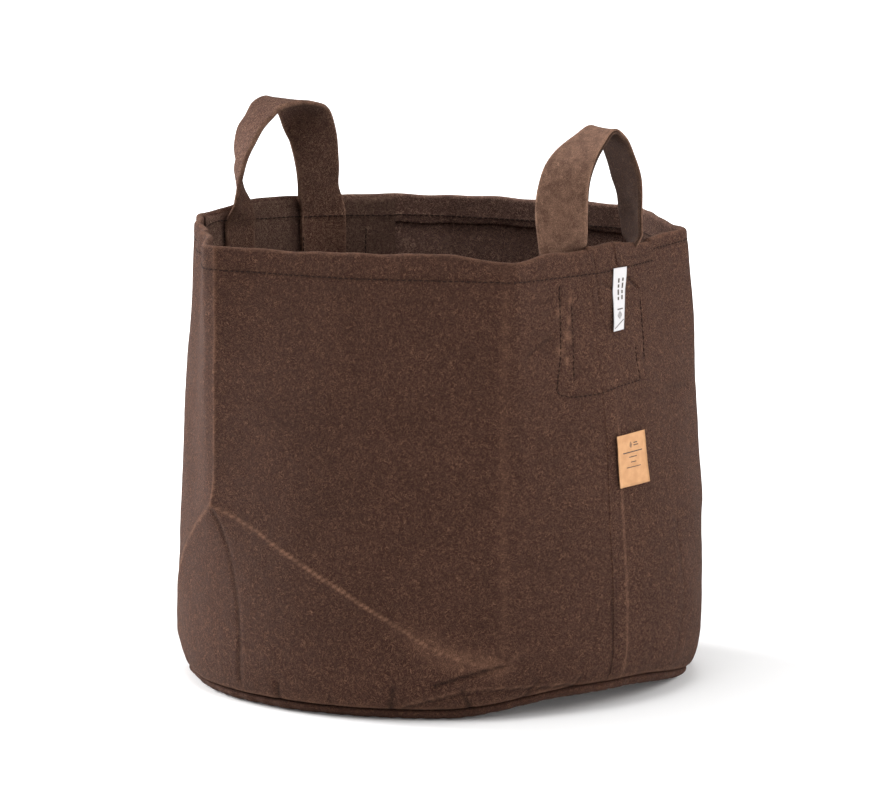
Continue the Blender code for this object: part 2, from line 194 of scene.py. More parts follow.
# Sharp folds: line on the wall, height of the ridge, its half-width, softness of its top,
# how pale it is rubbed and how wide.
FOLDS = (
    (((-106.8, 345), (-106, 145)), 5.6, 20, 0.5, 0.35, 1.3),
    (DIAGONAL, 1.8, 11, 0.4, 0, 1),
    (((-106, 145), (-114.5, 128), (-126, 98), (-136, 62), (-141, 30)), 2.6, 13, 1.2,
     0.35, 1.5),
    (((-34.5, 345), (-36, 180), (-36.5, 40)), 2.2, 15, 6, 0.14, 3),
    (((38, 345), (38.5, 240), (40, 130)), 1.9, 10, 2, 0.18, 1.4),
    (((197, 345), (196, 150), (199, 60)), 2.6, 16, 3, 0.14, 1.6),
    (((76, 345), (78, 170), (84, 60)), 2, 16, 3, 0.12, 1.6),
    (((128, 345), (127, 190), (121, 90)), 2.4, 15, 2.5, 0.12, 1.6),
    (((84, 60), (98, 84), (112, 96), (121, 90)), 1.5, 11, 1, 0.2, 1.3),
    (((121, 90), (138, 62), (152, 34)), 1.6, 11, 1.2, 0.2, 1.3),
    (((156, 345), (158, 230), (161, 120)), 1.6, 13, 3, 0, 1),
    (((170, 200), (184, 168), (196, 150)), 1, 9, 1, 0, 1),
    (((-36, 40), (-33.5, 46), (-31, 52)), 0.8, 4, 0.6, 0.3, 2),
    (((0, 214), (10, 217.5)), 0.6, 3, 0.5, 0, 1),
)

# Thin valleys: line on the wall, depth, half-width.
VALLEYS = (
    (((-106, 141), (-102, 108), (-99.8, 77), (-99.1, 48), (-99.4, 18)), 0.9, 2.4),
    (((-51, 27), (-47, 31), (-41.5, 36), (-36.4, 39.5)), 2.2, 2.2),
    (((-58, 9.5), (-52, 15), (-46, 20), (-40, 20.5), (-33, 17), (-26, 12.5), (-18, 9)), 1.5, 1.7),
    (((-122.5, 345), (-123.5, 150)), 3, 25),
    (((-89, 3), (-88, 20)), 1.3, 3),
    (((-61, 6), (-60, 24)), 1.5, 3),
    (((-43, 8), (-45, 22)), 1.6, 2.6),
    (((-32, 4), (-28, 19)), 1.3, 3),
    (((-19, 3), (-17, 16)), 1.1, 3),
    (((-74, 4), (-75, 15)), 0.9, 3),
    (((6.5, 309), (9.9, 301)), 1.6, 1.7),
    (((-4.6, 309), (0.4, 302)), 1.2, 1.7),
    (((-22, 276), (-27, 270), (-30, 262)), 0.8, 2.5),
    (((-20, 303), (-26, 300)), 0.7, 2),
    (((17.8, 225), (30, 221)), 0.7, 2.4),
    (((-6.8, 330), (-6.9, 288)), 0.8, 1.4),
    (((15, 130), (17, 70), (14, 20)), 0.5, 4),
    (((-150, 2), (-151, 22)), 1.4, 3.2),
    (((-131, 3), (-129, 17)), 1.2, 3.2),
    (((30, 3), (31, 20)), 1.4, 3.4),
    (((62, 3), (60, 18)), 1.3, 3.2),
    (((103, 3), (105, 24)), 1.5, 3.2),
    (((147, 3), (146, 17)), 1.2, 3),
    (((178, 3), (180, 22)), 1.4, 3.2),
)

CREASE_WIDTH = 6.0  # a wider valley gets no painted shade inside

# Worn places on the outside: direction, height, width; and two worn lines.
RUBBED_SPOTS = (
    (-20.2, 292, 4), (-17.4, 286, 3.5), (-18.2, 276, 4.5), (-20.4, 266, 5),
    (-16.4, 300, 3), (-18.8, 258, 3), (5.4, 246, 3),
)
SEAM_RIDGE = ((-4.9, 330), (-4.7, 100), (-5.0, 10))
FRONT_LIP = ((-58, 11.2), (-52, 17), (-46, 22), (-40, 22.4), (-33, 19), (-26, 14.4), (-18, 11))

# Slow unevenness of the wall: seed, height, wavelength, number of waves.
RIPPLES = ((3, 0.9, 150.0, 16), (4, 0.35, 48.0, 16), (5, 0.10, 17.0, 26))
FLUTTER = (2.4, -141.0)  # waves below the rim: height, direction
SAG = (2.0, -72.0)  # slack front: depth, direction
BELLY = (3.4, 38.0, 95.0)  # swelling at the side: height, direction, height of its middle

HEM_LINE = (
    (20, 317.2), (2, 316.4), (-12, 316.6), (-37, 317.4), (-74, 316.6),
    (-110, 317.2), (-130, 319), (-150, 323.5), (-167, 327), (-184, 322),
    (-196, 320.5), (-215, 318.5), (-250, 317.4), (-300, 317.6), (-312, 320.5),
    (-320, 326.4), (-339, 325.2), (-342.5, 321.6), (-358, 324.6),
)
SIDE_LINE = ((-8.1, 314), (-8.3, 200), (-8, 100), (-8.2, 12))
RIGHT_BOXES = (
    ((-19.6, 312), (-20.4, 262), (-22.3, 237), (-21.2, 233), (-17, 231), (-10.5, 231),
     (-1.8, 234.6), (5.6, 235.4), (5, 250), (5.4, 262)),
    ((-16.1, 296), (-16.6, 262), (-17.1, 243)),
    ((10.4, 292), (9.2, 262), (8.2, 247)),
)
LEFT_BOXES = (
    ((147.6, 309), (148, 262), (148.6, 240), (160, 239), (178, 240), (190, 241),
     (190.4, 262), (190, 309)),
    ((164, 306), (164.4, 246)),
    ((178.5, 306), (178.2, 246)),
)


def mouth_radius(theta):
    total = 0.0
    for direction, distance in MOUTH_SIDES:
        reach = np.cos(np.radians(theta - direction)) / distance
        total = total + np.maximum(reach, 0.0) ** MOUTH_SHARPNESS
    return total ** (-1.0 / MOUTH_SHARPNESS)


def rim_rise(theta):
    """How far the rim rides above its mean height."""
    rise = sum(height * around(theta, middle, width) for middle, height, width in RIM_HUMPS)
    over = smooth((theta - LAP_EDGE) / 0.8) * (1.0 - smooth((theta - 20.0) / 0.9))
    rise = rise + over * (2.3 - 5.0 * smooth((theta + 2.0) / 21.0))
    return rise + 0.5 * np.sin(np.radians(theta) * 13.0) + 0.3 * np.sin(np.radians(theta) * 29.0)


def rim_height(theta):
    return HEIGHT + rim_rise(theta)


def polar(reach, turn, z):
    """Points in metres at a distance and direction (radians) from the bag's middle."""
    x = CENTRE[0] + reach * np.cos(turn)
    y = CENTRE[1] + reach * np.sin(turn)
    return np.stack([x, y, z], -1) * MM


def seam_paths():
    """Every line of stitches that shows outside."""
    return (HEM_LINE[:9], HEM_LINE[8:], SIDE_LINE) + RIGHT_BOXES + LEFT_BOXES


def relief(theta, z):
    """Folds, creases, sags and seam puckers of the wall, outwards in millimetres."""
    total = sum(height * ripple(seed, theta, z, length, count)
                for seed, height, length, count in RIPPLES)
    for path, height, width, soft, _, _ in FOLDS:
        d, _ = nearest(theta, z, path)
        total = total + height * np.exp(-(np.sqrt(d * d + soft * soft) - soft) / width)
    for path, depth, width in VALLEYS:
        d, _ = nearest(theta, z, path)
        total = total - depth * bell(d, width)
    for path in seam_paths():
        d, along = nearest(theta, z, path)
        pucker = 0.65 + 0.35 * np.sin(along * 170.0)
        depth = 0.12 if path is SIDE_LINE else 0.55
        total = total - depth * pucker * bell(d, 1.5)
    flutter = around(theta, FLUTTER[1], 17.0) * smooth((z - 240.0) / 90.0)
    flutter = flutter * np.sin(np.radians(theta) * 24.0 + 0.6)
    sag = around(theta, SAG[1], 24.0) * smooth((z - 60.0) / 120.0)
    sag = sag * (1.0 - 0.5 * smooth((z - 120.0) / 200.0))
    belly = around(theta, BELLY[1], 34.0) * bell(z - BELLY[2], 75.0)
    return total + FLUTTER[0] * flutter - SAG[0] * sag + BELLY[0] * belly


def lap(theta, z):
    """Doubled cloth at the side seam and where the hem's ends cross."""
    past = wrap(theta - LAP_EDGE)
    rise = smooth(past / 0.16) * (1.0 - smooth((past - 3.7) / 1.2))
    flattened = 1.0 - 0.6 * smooth((z - 205.0) / 25.0)
    total = LAP_RISE * rise * flattened * smooth((320.0 - z) / 4.0)
    near, far = HEM_CROSSED
    step = smooth((theta - near) / 0.35) * (1.0 - smooth((theta - far) / 0.6))
    return total + 0.8 * step * smooth((z - 317.5) / 2.0)


def radius(theta, z):
    """Outer face of the wall from the middle of the bag."""
    t = np.clip((z - FOOT_LOW) / FOOT_ROLL, 0.0, 1.0)
    swell = np.sqrt(1.0 - (1.0 - t) ** 2)
    body = FOOT_RADIUS + (BODY_RADIUS - FOOT_RADIUS) * swell
    mix = np.clip(z / HEIGHT, 0.0, 1.03) ** TAPER_POWER
    return body + (mouth_radius(theta) - body) * mix + relief(theta, z)


def foot_lift(theta):
    """How far the bottom edge stands off the floor on the side seam's side."""
    start, finish = FOOT_LIFT_SPAN
    turn = wrap(theta - start)
    turn = np.where(turn < -90.0, turn + 360.0, turn)
    gone = smooth((turn - (finish - start)) / 42.0)
    return FOOT_LIFT * smooth(turn / 34.0) * (1.0 - gone)


def wall_points(theta, z, lift):
    """Points in metres, lifted outwards from the wall's outer face."""
    theta, z, lift = np.broadcast_arrays(
        np.asarray(theta, float), np.asarray(z, float), np.asarray(lift, float))
    reach = radius(theta, z) + lift
    z = z + foot_lift(theta) * (1.0 - smooth((z - FOOT_LOW) / FOOT_LIFT_FADE))
    return polar(reach, np.radians(theta), z)


# --- Mesh making ---
def grid_mesh(name, points, flat, ring=(True, True), marks=None):
    """Mesh of a grid of points: rows by columns, closed along either side or not.

    flat holds each point's place in the unrolled cloth in metres, with one more row and
    column than points where that side is closed. marks are named values of each point.
    """
    rows, cols = points.shape[:2]
    last_row = rows if ring[0] else rows - 1
    last_col = cols if ring[1] else cols - 1
    r = np.arange(last_row)[:, None]
    c = np.arange(last_col)[None, :]
    corners = ((0, 0), (0, 1), (1, 1), (1, 0))
    faces = [((r + a) % rows) * cols + (c + b) % cols for a, b in corners]
    faces = np.stack(faces, -1).reshape(-1, 4)
    spots = [flat[a:a + last_row, b:b + last_col] for a, b in corners]
    spots = np.stack(spots, 2).reshape(-1, 2)
    index = np.arange(rows * cols).reshape(rows, cols)
    caps = []
    if not ring[0]:
        caps += [index[0], index[-1, ::-1]]
    if not ring[1]:
        caps += [index[::-1, 0], index[:, -1]]
    return raw_mesh(name, points.reshape(-1, 3), faces, spots, marks, caps)


def raw_mesh(name, points, faces, spots, marks=None, caps=()):
    """Mesh of equal-sized faces, with larger faces that close its ends."""
    mesh = bpy.data.meshes.new(name)
    mesh.vertices.add(len(points))
    mesh.vertices.foreach_set("co", np.asarray(points, np.float32).ravel())
    size = faces.shape[1]
    starts = np.arange(len(faces)) * size
    corners = [faces.ravel()]
    for cap in caps:
        starts = np.append(starts, sum(len(part) for part in corners))
        corners.append(np.asarray(cap))
    corners = np.concatenate(corners).astype(np.int32)
    mesh.loops.add(len(corners))
    mesh.loops.foreach_set("vertex_index", corners)
    mesh.polygons.add(len(starts))
    mesh.polygons.foreach_set("loop_start", starts.astype(np.int32))
    ends = np.zeros((len(corners) - faces.size, 2))
    spots = np.concatenate([np.asarray(spots, float).reshape(-1, 2), ends])
    mesh.update(calc_edges=True)
    layer = mesh.uv_layers.new(name="cloth")
    layer.data.foreach_set("uv", np.asarray(spots, np.float32).ravel())
    for label, values in (marks or {}).items():
        field = mesh.attributes.new(label, "FLOAT", "POINT")
        field.data.foreach_set("value", np.asarray(values, np.float32).ravel())
    mesh.validate()
    mesh.shade_smooth()
    obj = bpy.data.objects.new(name, mesh)
    bpy.context.scene.collection.objects.link(obj)
    return obj


def laid_flat(across, down):
    """Place of every corner of a grid in its flat cloth, from millimetres to metres."""
    return np.stack(np.broadcast_arrays(across[None, :], down[:, None]), -1) * MM


def lengths_along(points):
    steps = np.linalg.norm(np.diff(points, axis=0), axis=-1)
    return np.concatenate([[0.0], np.cumsum(steps)])


# --- Wall ---
def wall_rows():
    """Section of the wall cloth: lists of (height above floor or below rim, lift)."""
    inner = -FELT
    hem_out = inner - LAYER_GAP
    hem_in = hem_out - FELT
    top = FOOT_LOW + FELT
    rows = [("floor", FOOT_LOW, lift) for lift in (-11.0, -8.0, -5.0, -2.4)]
    for k in range(4):
        turn = math.radians(30.0 * k)
        rows.append(("floor", FOOT_LOW + 1.4 * (1 - math.cos(turn)),
                     -1.4 * (1 - math.sin(turn))))
    rows += [("floor", z, 0.0) for z in np.arange(11.0, 300.0, 2.0)]
    rows += [("rim", drop, 0.0) for drop in np.arange(34.0, 2.9, -1.3)]
    half = -hem_in / 2
    for k in range(9):
        turn = math.radians(22.5 * k)
        rows.append(("rim", half * (1 - math.sin(turn)), -half * (1 - math.cos(turn))))
    rows += [("rim", drop, hem_in) for drop in np.arange(4.5, HEM - 1.0, 1.4)]
    hem_edge = (HEM - 0.5, hem_in + 0.2), (HEM, hem_in + 0.9), (HEM, hem_out - 0.9)
    under_hem = (HEM - 0.5, hem_out - 0.1), (12.0, hem_out), (4.4, hem_out)
    inside = (3.6, inner - 0.3), (4.4, inner), (12.0, inner)
    rows += [("rim", *pair) for pair in hem_edge + under_hem + inside]
    rows += [("rim", drop, inner) for drop in np.arange(20.0, 100.0, 2.0)]
    rows += [("floor", z, inner) for z in np.arange(228.0, 14.0, -5.0)]
    rows += [("floor", top + 1.0, inner), ("floor", top, inner - 1.0)]
    return rows + [("floor", top, -SEAM_FLANGE + SEAM_INSET), ("floor", top, -SEAM_FLANGE)]


def wall_columns():
    """Directions of the wall's columns, closer together at the sharp edges."""
    base = np.arange(-180.0, 180.0, 0.45)
    close = [np.arange(-112.0, -104.0, 0.15), np.arange(LAP_EDGE - 0.1, LAP_EDGE + 0.3, 0.05)]
    close += [np.arange(1.8, 2.4, 0.1), np.arange(20.3, 21.1, 0.15)]
    joined = np.unique(np.round(np.concatenate([base] + close), 3))
    keep = np.concatenate([[True], np.diff(joined) > 0.04])
    return joined[keep]


def wear_marks(theta, z):
    """Where the fibres are rubbed pale (with a painted highlight on the rim's fold), and where
    shade is painted into creases, the lap's cut edge and the seams.
    """
    d, along = nearest(theta, z, DIAGONAL)
    rub = 0.45 + 0.55 * np.sin(along * math.pi) ** 0.6
    pale = [1.1 * rub * bell(d, 0.9), 0.34 * smooth((along - 0.6) / 0.3) * bell(d, 9.0)]
    for path, _, _, _, strength, width in FOLDS:
        if strength:
            pale.append(strength * bell(nearest(theta, z, path)[0], width))
    for direction, height, width in RUBBED_SPOTS:
        d = np.hypot(np.radians(wrap(theta - direction)) * UNROLL * 1.6, z - height)
        pale.append(0.62 * bell(d, width))
    ridge = 0.42 * (1.0 - 0.9 * smooth((z - 195.0) / 30.0))
    pale.append(ridge * bell(nearest(theta, z, SEAM_RIDGE)[0], 1.2))
    pale.append(0.45 * bell(nearest(theta, z, FRONT_LIP)[0], 1.0))
    pale.append(0.30 * bell(z - 9.0, 1.8))
    # paler along the rim's fold: rubbed fibres with a painted highlight
    pale.append(0.34 * bell(z - rim_height(theta), 1.6))
    painted_shade = []
    # painted shade in the narrow valleys
    for path, depth, width in VALLEYS:
        if width <= CREASE_WIDTH:
            d = nearest(theta, z, path)[0]
            painted_shade.append(min(depth * 0.4, 0.75) * bell(d, width * 0.6))
    # painted shadow along the outer cloth's cut edge at the side seam
    edge = nearest(theta, z, ((LAP_EDGE - 0.15, 318), (LAP_EDGE - 0.15, 10)))[0]
    painted_shade.append((0.04 + 0.5 * smooth((110.0 - z) / 40.0)) * bell(edge, 0.9))
    # painted shade along the stitched seams
    for path in seam_paths():
        if path is not SIDE_LINE:
            painted_shade.append(0.32 * bell(nearest(theta, z, path)[0], 0.9))
    return np.maximum.reduce(pale), np.maximum.reduce(painted_shade)


def inside_painted_light(theta, z):
    """How much light is painted on the inner face, most at the back of the bag."""
    back = 0.28 + 0.72 * around(theta, 118.0, 58.0)
    return back * (1.0 - 0.35 * smooth((z - 311.0) / 4.0))


def build_wall():
    theta = wall_columns()
    rows = wall_rows()
    rim = rim_height(theta)
    shape = (len(rows), len(theta))
    z = np.empty(shape)
    lift = np.empty(shape)
    outer = np.zeros(shape)
    for k, (kind, value, depth) in enumerate(rows):
        if kind == "rim":
            z[k] = rim - value
        else:
            z[k] = value + rim_rise(theta) * smooth((value - RIM_FOLLOW) / 140.0)
        lift[k] = depth
        outer[k] = 1.0 if depth > -FELT * 0.9 else 0.0
    grid = np.broadcast_to(theta, shape)
    lift = lift + lap(grid, z) * outer
    points = wall_points(grid, z, lift)
    run = np.radians(np.append(theta, theta[0] + 360)) * UNROLL
    middle = points[:, len(theta) // 2]
    down = lengths_along(np.vstack([middle, middle[:1]])) / MM
    pale, painted_shade = wear_marks(grid, z)
    pale = pale * np.where(outer > 0, 1.0, 0.35)
    painted_shade = painted_shade * np.where(outer > 0, 1.0, 0.4)
    # the inside mark carries painted light on the inner face
    marks = {"pale": pale, "painted_shade": painted_shade, "inside": (1.0 - outer) * inside_painted_light(theta, z)}
    return grid_mesh("bag_wall", points, laid_flat(run, down), marks=marks)


# --- Base ---
def build_base():
    """Felt bottom with its puckered edge rolled up and sewn in against the wall's."""
    theta = np.arange(0.0, 360.0, 0.5)
    section = [(0.5, 0.9), (60.0, 0.7), (120.0, 0.4), (160.0, 0.1), (174.0, 0.0)]
    for k in range(10):
        turn = math.radians(10.0 * k)
        section.append((FOOT_RADIUS - 7.4 + 8.3 * math.sin(turn), 6.4 * (1 - math.cos(turn))))
    section += [(FOOT_RADIUS - 0.4, 7.0), (FOOT_RADIUS - 1.6, 7.6)]
    section += [(FOOT_RADIUS - SEAM_FLANGE, 7.5), (FOOT_RADIUS - SEAM_FLANGE, 5.1)]
    section += [(FOOT_RADIUS - 3.4, 5.1), (FOOT_RADIUS - 4.6, 3.3), (FOOT_RADIUS - 9.0, 2.6)]
    section += [(160.0, 2.7), (120.0, 3.0), (60.0, 3.3), (0.5, 3.5)]
    radii = np.array([r for r, _ in section])[:, None]
    z = np.array([h for _, h in section])[:, None]
    edge = smooth((radii - 120.0) / 60.0)
    turn = np.radians(theta)
    pucker = 0.55 * np.sin(turn * 61.0 + 1.2 * np.sin(turn * 7.0))
    wave = 1.1 * ripple(21, theta, 0.0 * theta, 60.0) + 0.5 * ripple(23, theta, 0.0 * theta, 24.0)
    reach = radii + edge * (pucker + wave)
    wobble = 0.35 * ripple(22, theta + 0.0 * radii, radii + 0.0 * theta, 45.0)
    height = z + np.abs(wobble) * smooth((150.0 - radii) / 60.0)
    height = height + 0.5 * edge * np.abs(pucker) * (z < 4.0)
    height = height + foot_lift(theta)[None, :] * smooth((radii - 135.0) / 45.0)
    points = polar(reach, turn, np.maximum(height, 0.0) + 0.0 * reach)
    flat = np.zeros((len(section), len(theta) + 1, 2))
    run = lengths_along(np.array(section))
    spokes = np.append(turn, turn[0])
    flat[..., 0] = run[:, None] * np.cos(spokes) * MM
    flat[..., 1] = run[:, None] * np.sin(spokes) * MM
    return grid_mesh("bag_base", points, flat, ring=(False, True))


# --- Patches inside the wall ---
def angle_of(point):
    return math.degrees(math.atan2(point[1], point[0]))


def build_patch(name, start, finish):
    """Flat piece of cloth that follows the wall inside, with rounded edges all round."""
    theta = np.linspace(start, finish, 130)
    rim = rim_height(theta)
    low = rim - PATCH_DEPTH + 0.8 * np.sin(np.radians(theta) * 21.0)
    high = rim - 2.2
    rows = np.linspace(0.0, 1.0, 40)
    outline = [(r, 0.5) for r in rows] + [(r, -0.5) for r in rows[::-1]]
    columns = np.arange(len(theta))
    fade = np.minimum(np.minimum(columns, columns[::-1]) / 1.5, 1.0)
    points = []
    for r, side in outline:
        end = min(r, 1.0 - r)
        round_off = min(math.sqrt(end * 40.0 / 1.2), 1.0)
        z = low + (high - low) * r
        lift = PATCH_LIFT + side * PATCH_THICK * round_off * np.sqrt(fade)
        points.append(wall_points(theta, z, lift + 0.12 * ripple(41, theta, z, 26.0)))
    down = np.array([r for r, _ in outline] + [0.0]) * (high - low).mean()
    down[len(rows):] += 300.0
    flat = laid_flat(np.radians(theta) * UNROLL, down)
    return grid_mesh(name, np.stack(points), flat, ring=(True, False))


# --- Straps ---
def spline(knots, count):
    """Catmull-Rom curve through rows of numbers, at even steps of the row number."""
    knots = np.asarray(knots, float)
    ends = [2 * knots[0] - knots[1]], [2 * knots[-1] - knots[-2]]
    padded = np.concatenate([ends[0], knots, ends[1]])
    t = np.linspace(0.0, len(knots) - 1.0, count)
    k = np.minimum(t.astype(int), len(knots) - 2)
    u = (t - k)[:, None]
    p0, p1, p2, p3 = (padded[k + i] for i in range(4))
    return 0.5 * (2 * p1 + (p2 - p0) * u + (2 * p0 - 5 * p1 + 4 * p2 - p3) * u ** 2
                  + (3 * p1 - p0 - 3 * p2 + p3) * u ** 3)


def strap_section():
    """Outline of the doubled strap: folded at one edge, two raw edges at the other."""
    wide = STRAP_WIDTH / 2
    thick = STRAP_THICK / 2
    top = [(u, thick) for u in np.linspace(-wide + 1.8, wide - 1.0, 17)]
    raw = [(wide - 0.2, thick * 0.85), (wide, thick * 0.45), (wide - 0.5, thick * 0.16)]
    notch = [(wide - 2.6, 0.05)]
    raw_low = [(wide - 0.3, -thick * 0.16), (wide + 0.3, -thick * 0.45)]
    raw_low += [(wide - 0.1, -thick * 0.85)]
    low = [(u, -thick) for u in np.linspace(wide - 1.0, -wide + 1.8, 17)]
    fold = [(-wide + 0.5, -thick * 0.75), (-wide, 0.0), (-wide + 0.5, thick * 0.75)]
    return np.array(top + raw + notch + raw_low + low + fold)


def strap_frames(path, feet, square):
    """Middle, edge direction and face direction at steps over the free loop."""
    (x0, y0), (x1, y1) = feet
    curve = spline(path, 150)
    y = curve[:, 0]
    x = x0 + (x1 - x0) * (y - y0) / (y1 - y0)
    middle = np.stack([x + CENTRE[0], y + CENTRE[1], curve[:, 1]], -1)
    travel = np.gradient(middle, axis=0)
    travel /= np.linalg.norm(travel, axis=1)[:, None]
    turn = np.radians(curve[:, 2])
    edge = np.stack([np.cos(turn), np.sin(turn), 0.0 * turn], -1)
    edge -= square * travel * (edge * travel).sum(1)[:, None]
    edge /= np.linalg.norm(edge, axis=1)[:, None]
    face = np.cross(edge, travel)
    face /= np.linalg.norm(face, axis=1)[:, None]
    return middle, edge, face


def strap_loop(section, path, feet, seed, square, pinch):
    """Heights of the free loop's rings, and its points: cupped, crumpled and gathered."""
    middle, edge, face = strap_frames(path, feet, square)
    u, v = section.T
    rng = np.random.default_rng(seed)
    step = np.arange(len(middle)) / len(middle)
    across = u / (STRAP_WIDTH / 2)
    cup = 0.9 * np.sin(step * 9.0 + rng.uniform(0, 6))
    sag = np.outer(cup, across ** 2 - 0.4)
    edge_wave = 0.7 * np.outer(np.sin(step * 31.0 + 1.0), across ** 3)
    crumple = sum(0.10 * np.sin(step[:, None] * rng.uniform(30, 75)
                                + u[None, :] * rng.uniform(-0.25, 0.25)
                                + rng.uniform(0, 6)) for _ in range(6))
    ends = np.minimum(step, 1 - step)[:, None] * 12.0
    crumple = crumple * (1.0 + 1.6 * bell(ends - 1.2, 1.0))
    bunch = PINCH_BULGE * np.outer(bell(step - pinch, 0.036), np.cos(across * 2.2))
    side = v[None, :] + sag + edge_wave + crumple * 0.7 + bunch
    points = middle[:, None] + edge[:, None] * u[None, :, None] + face[:, None] * side[..., None]
    return middle[:, 2], points


def sewn_points(foot, reverse, section, z):
    """Points across a strap's sewn end at one height or more, in millimetres."""
    u, v = section.T
    side = -u if reverse else u
    theta = angle_of(foot) + np.degrees(side / math.hypot(*foot))
    return wall_points(theta, z, STRAP_LIFT + v) / MM


def build_strap(name, path, feet, seed, square, pinch, underside_painted_shade, wear_and_painted_light):
    """One strap: sewn end, free loop that turns over at the top, and the other end."""
    section = strap_section()
    u, v = section.T
    heights, loop = strap_loop(section, path, feet, seed, square, pinch)
    tails = []
    for foot, reverse, top in ((feet[0], False, path[0][1]), (feet[1], True, path[-1][1])):
        low = rim_height(angle_of(foot)) - STRAP_DEPTH
        rows = np.linspace(low, top - 1.0, 48)[:, None]
        tails.append(sewn_points(foot, reverse, section, rows))
    whole = np.concatenate([tails[0], loop, tails[1][::-1]])
    start = len(tails[0])
    finish = start + len(loop) - 1
    for k, w in enumerate(smooth(np.arange(STRAP_JOIN) / (STRAP_JOIN - 1.0))):
        for foot, reverse, row in ((feet[0], False, start + k), (feet[1], True, finish - k)):
            tail = sewn_points(foot, reverse, section, heights[row - start])
            whole[row] = tail * (1 - w) + whole[row] * w
    first, last = (ring.mean(axis=0) + (ring - ring.mean(axis=0)) * 0.05
                   for ring in (whole[0], whole[-1]))
    whole = np.concatenate([first[None], whole, last[None]])
    across = lengths_along(section)
    flat = laid_flat(np.append(across, across[-1] + 1.0), lengths_along(whole[:, len(u) // 4]))
    pale = np.zeros(whole.shape[:2]) + 0.30 * bell(np.abs(u) - 18.6, 1.0)
    # painted shade in the notch between the strap's two raw edges
    painted_shade = np.zeros(whole.shape[:2]) + 0.75 * bell(u - 16.6, 0.5)
    # painted shade on the strap's underside past its first sewn end
    painted_shade[start + 1:] = np.maximum(painted_shade[start + 1:], underside_painted_shade * (v < 0.0))
    # outer face of the first leg made paler: wear and painted light
    pale[:start + len(loop) // 2] += wear_and_painted_light * (v > 0.0)
    return grid_mesh(name, whole * MM, flat, ring=(False, True),
                     marks={"pale": pale, "painted_shade": painted_shade})


# --- Stitches ---
def along_line(path, lift):
    """Points one stitch apart along a line drawn on the wall, in metres."""
    knots = np.array(path, float)
    fine = []
    for (a0, z0), (a1, z1) in zip(knots, knots[1:]):
        count = max(int(abs(a1 - a0) / 0.5), int(abs(z1 - z0) / 2.0), 2)
        t = np.linspace(0.0, 1.0, count, endpoint=False)
        fine.append(np.stack([a0 + (a1 - a0) * t, z0 + (z1 - z0) * t], -1))
    theta, z = np.concatenate(fine + [knots[-1:]]).T
    points = wall_points(theta, z, lift(theta, z))
    run = lengths_along(points)
    marks = np.arange(0.0, run[-1], STITCH_STEP * MM)
    return np.stack([np.interp(marks, run, points[:, i]) for i in range(3)], -1)


def unit(vector):
    return vector / max(np.linalg.norm(vector), 1e-9)


def stitch_mesh(name, lines, seed):
    """Separate short stitches along lines of points, each end dipping into the felt."""
    rng = np.random.default_rng(seed)
    sides = 6
    stations = np.linspace(-1.0, 1.0, 7)
    points = []
    faces = []
    for line in lines:
        for first, second in zip(line, line[1:]):
            ahead = unit(second - first)
            middle = (first + second) / 2
            out = unit(np.append(middle[:2] - CENTRE * MM, 0.0))
            side = unit(np.cross(ahead, out))
            out = np.cross(side, ahead)
            ahead = ahead + side * rng.normal(0.0, 0.05)
            half = STITCH / 2 * MM * rng.uniform(0.9, 1.08)
            start = len(points)
            for s in stations:
                thick = STITCH_RADIUS * MM * math.sqrt(max(1.0 - s ** 4, 0.03))
                core = middle + ahead * half * s - out * STITCH_DIP * MM * s * s
                for j in range(sides):
                    turn = 2.0 * math.pi * j / sides
                    points.append(core + thick * (side * math.cos(turn) + out * math.sin(turn)))
            for a in range(start, len(points) - sides, sides):
                for j in range(sides):
                    m = (j + 1) % sides
                    faces.append((a + j, a + m, a + sides + m, a + sides + j))
    spots = np.tile([(0.0, 0.0), (MM, 0.0), (MM, MM), (0.0, MM)], (len(faces), 1))
    return raw_mesh(name, np.array(points), np.array(faces), spots)


def outside_lift(theta, z):
    return lap(theta, z) + 0.32


def buried_lift(theta, z):
    """Thread pulled almost flush with the felt."""
    return lap(theta, z) - 0.22 - 0.5 * smooth((z - 92.0) / 20.0)


def inside_lift(theta, z):
    """Face of whatever lies on the inside of the wall: hem, patch or strap."""
    depth = np.full(np.shape(theta), -FELT)
    depth = np.where(z > rim_height(theta) - HEM, -2 * FELT - LAYER_GAP, depth)
    for key, (start, finish) in PATCHES.items():
        on_patch = np.abs(wrap(theta - (start + finish) / 2)) < (finish - start) / 2
        depth = np.where(on_patch, PATCH_LIFT - PATCH_THICK / 2, depth)
        for foot in STRAPS[key][1]:
            half = math.degrees(STRAP_WIDTH / 2 / math.hypot(*foot))
            on_strap = np.abs(wrap(theta - angle_of(foot))) < half
            depth = np.where(on_strap, STRAP_LIFT - STRAP_THICK / 2, depth)
    return depth - FACE_GAP


def both_faces(path):
    return [along_line(path, outside_lift), along_line(path, inside_lift)]


def patch_edge_line(key):
    start, finish = PATCHES[key]
    marks = np.linspace(start + 2.2, finish - 2.2, 30)
    return [(a, rim_height(a) - 92.0) for a in marks]


def base_seam_line():
    theta = np.arange(0.0, 360.0, 1.3)
    reach = FOOT_RADIUS - SEAM_FLANGE + SEAM_INSET
    return polar(reach, np.radians(theta), FOOT_LOW + FELT + 0.4 + foot_lift(theta))


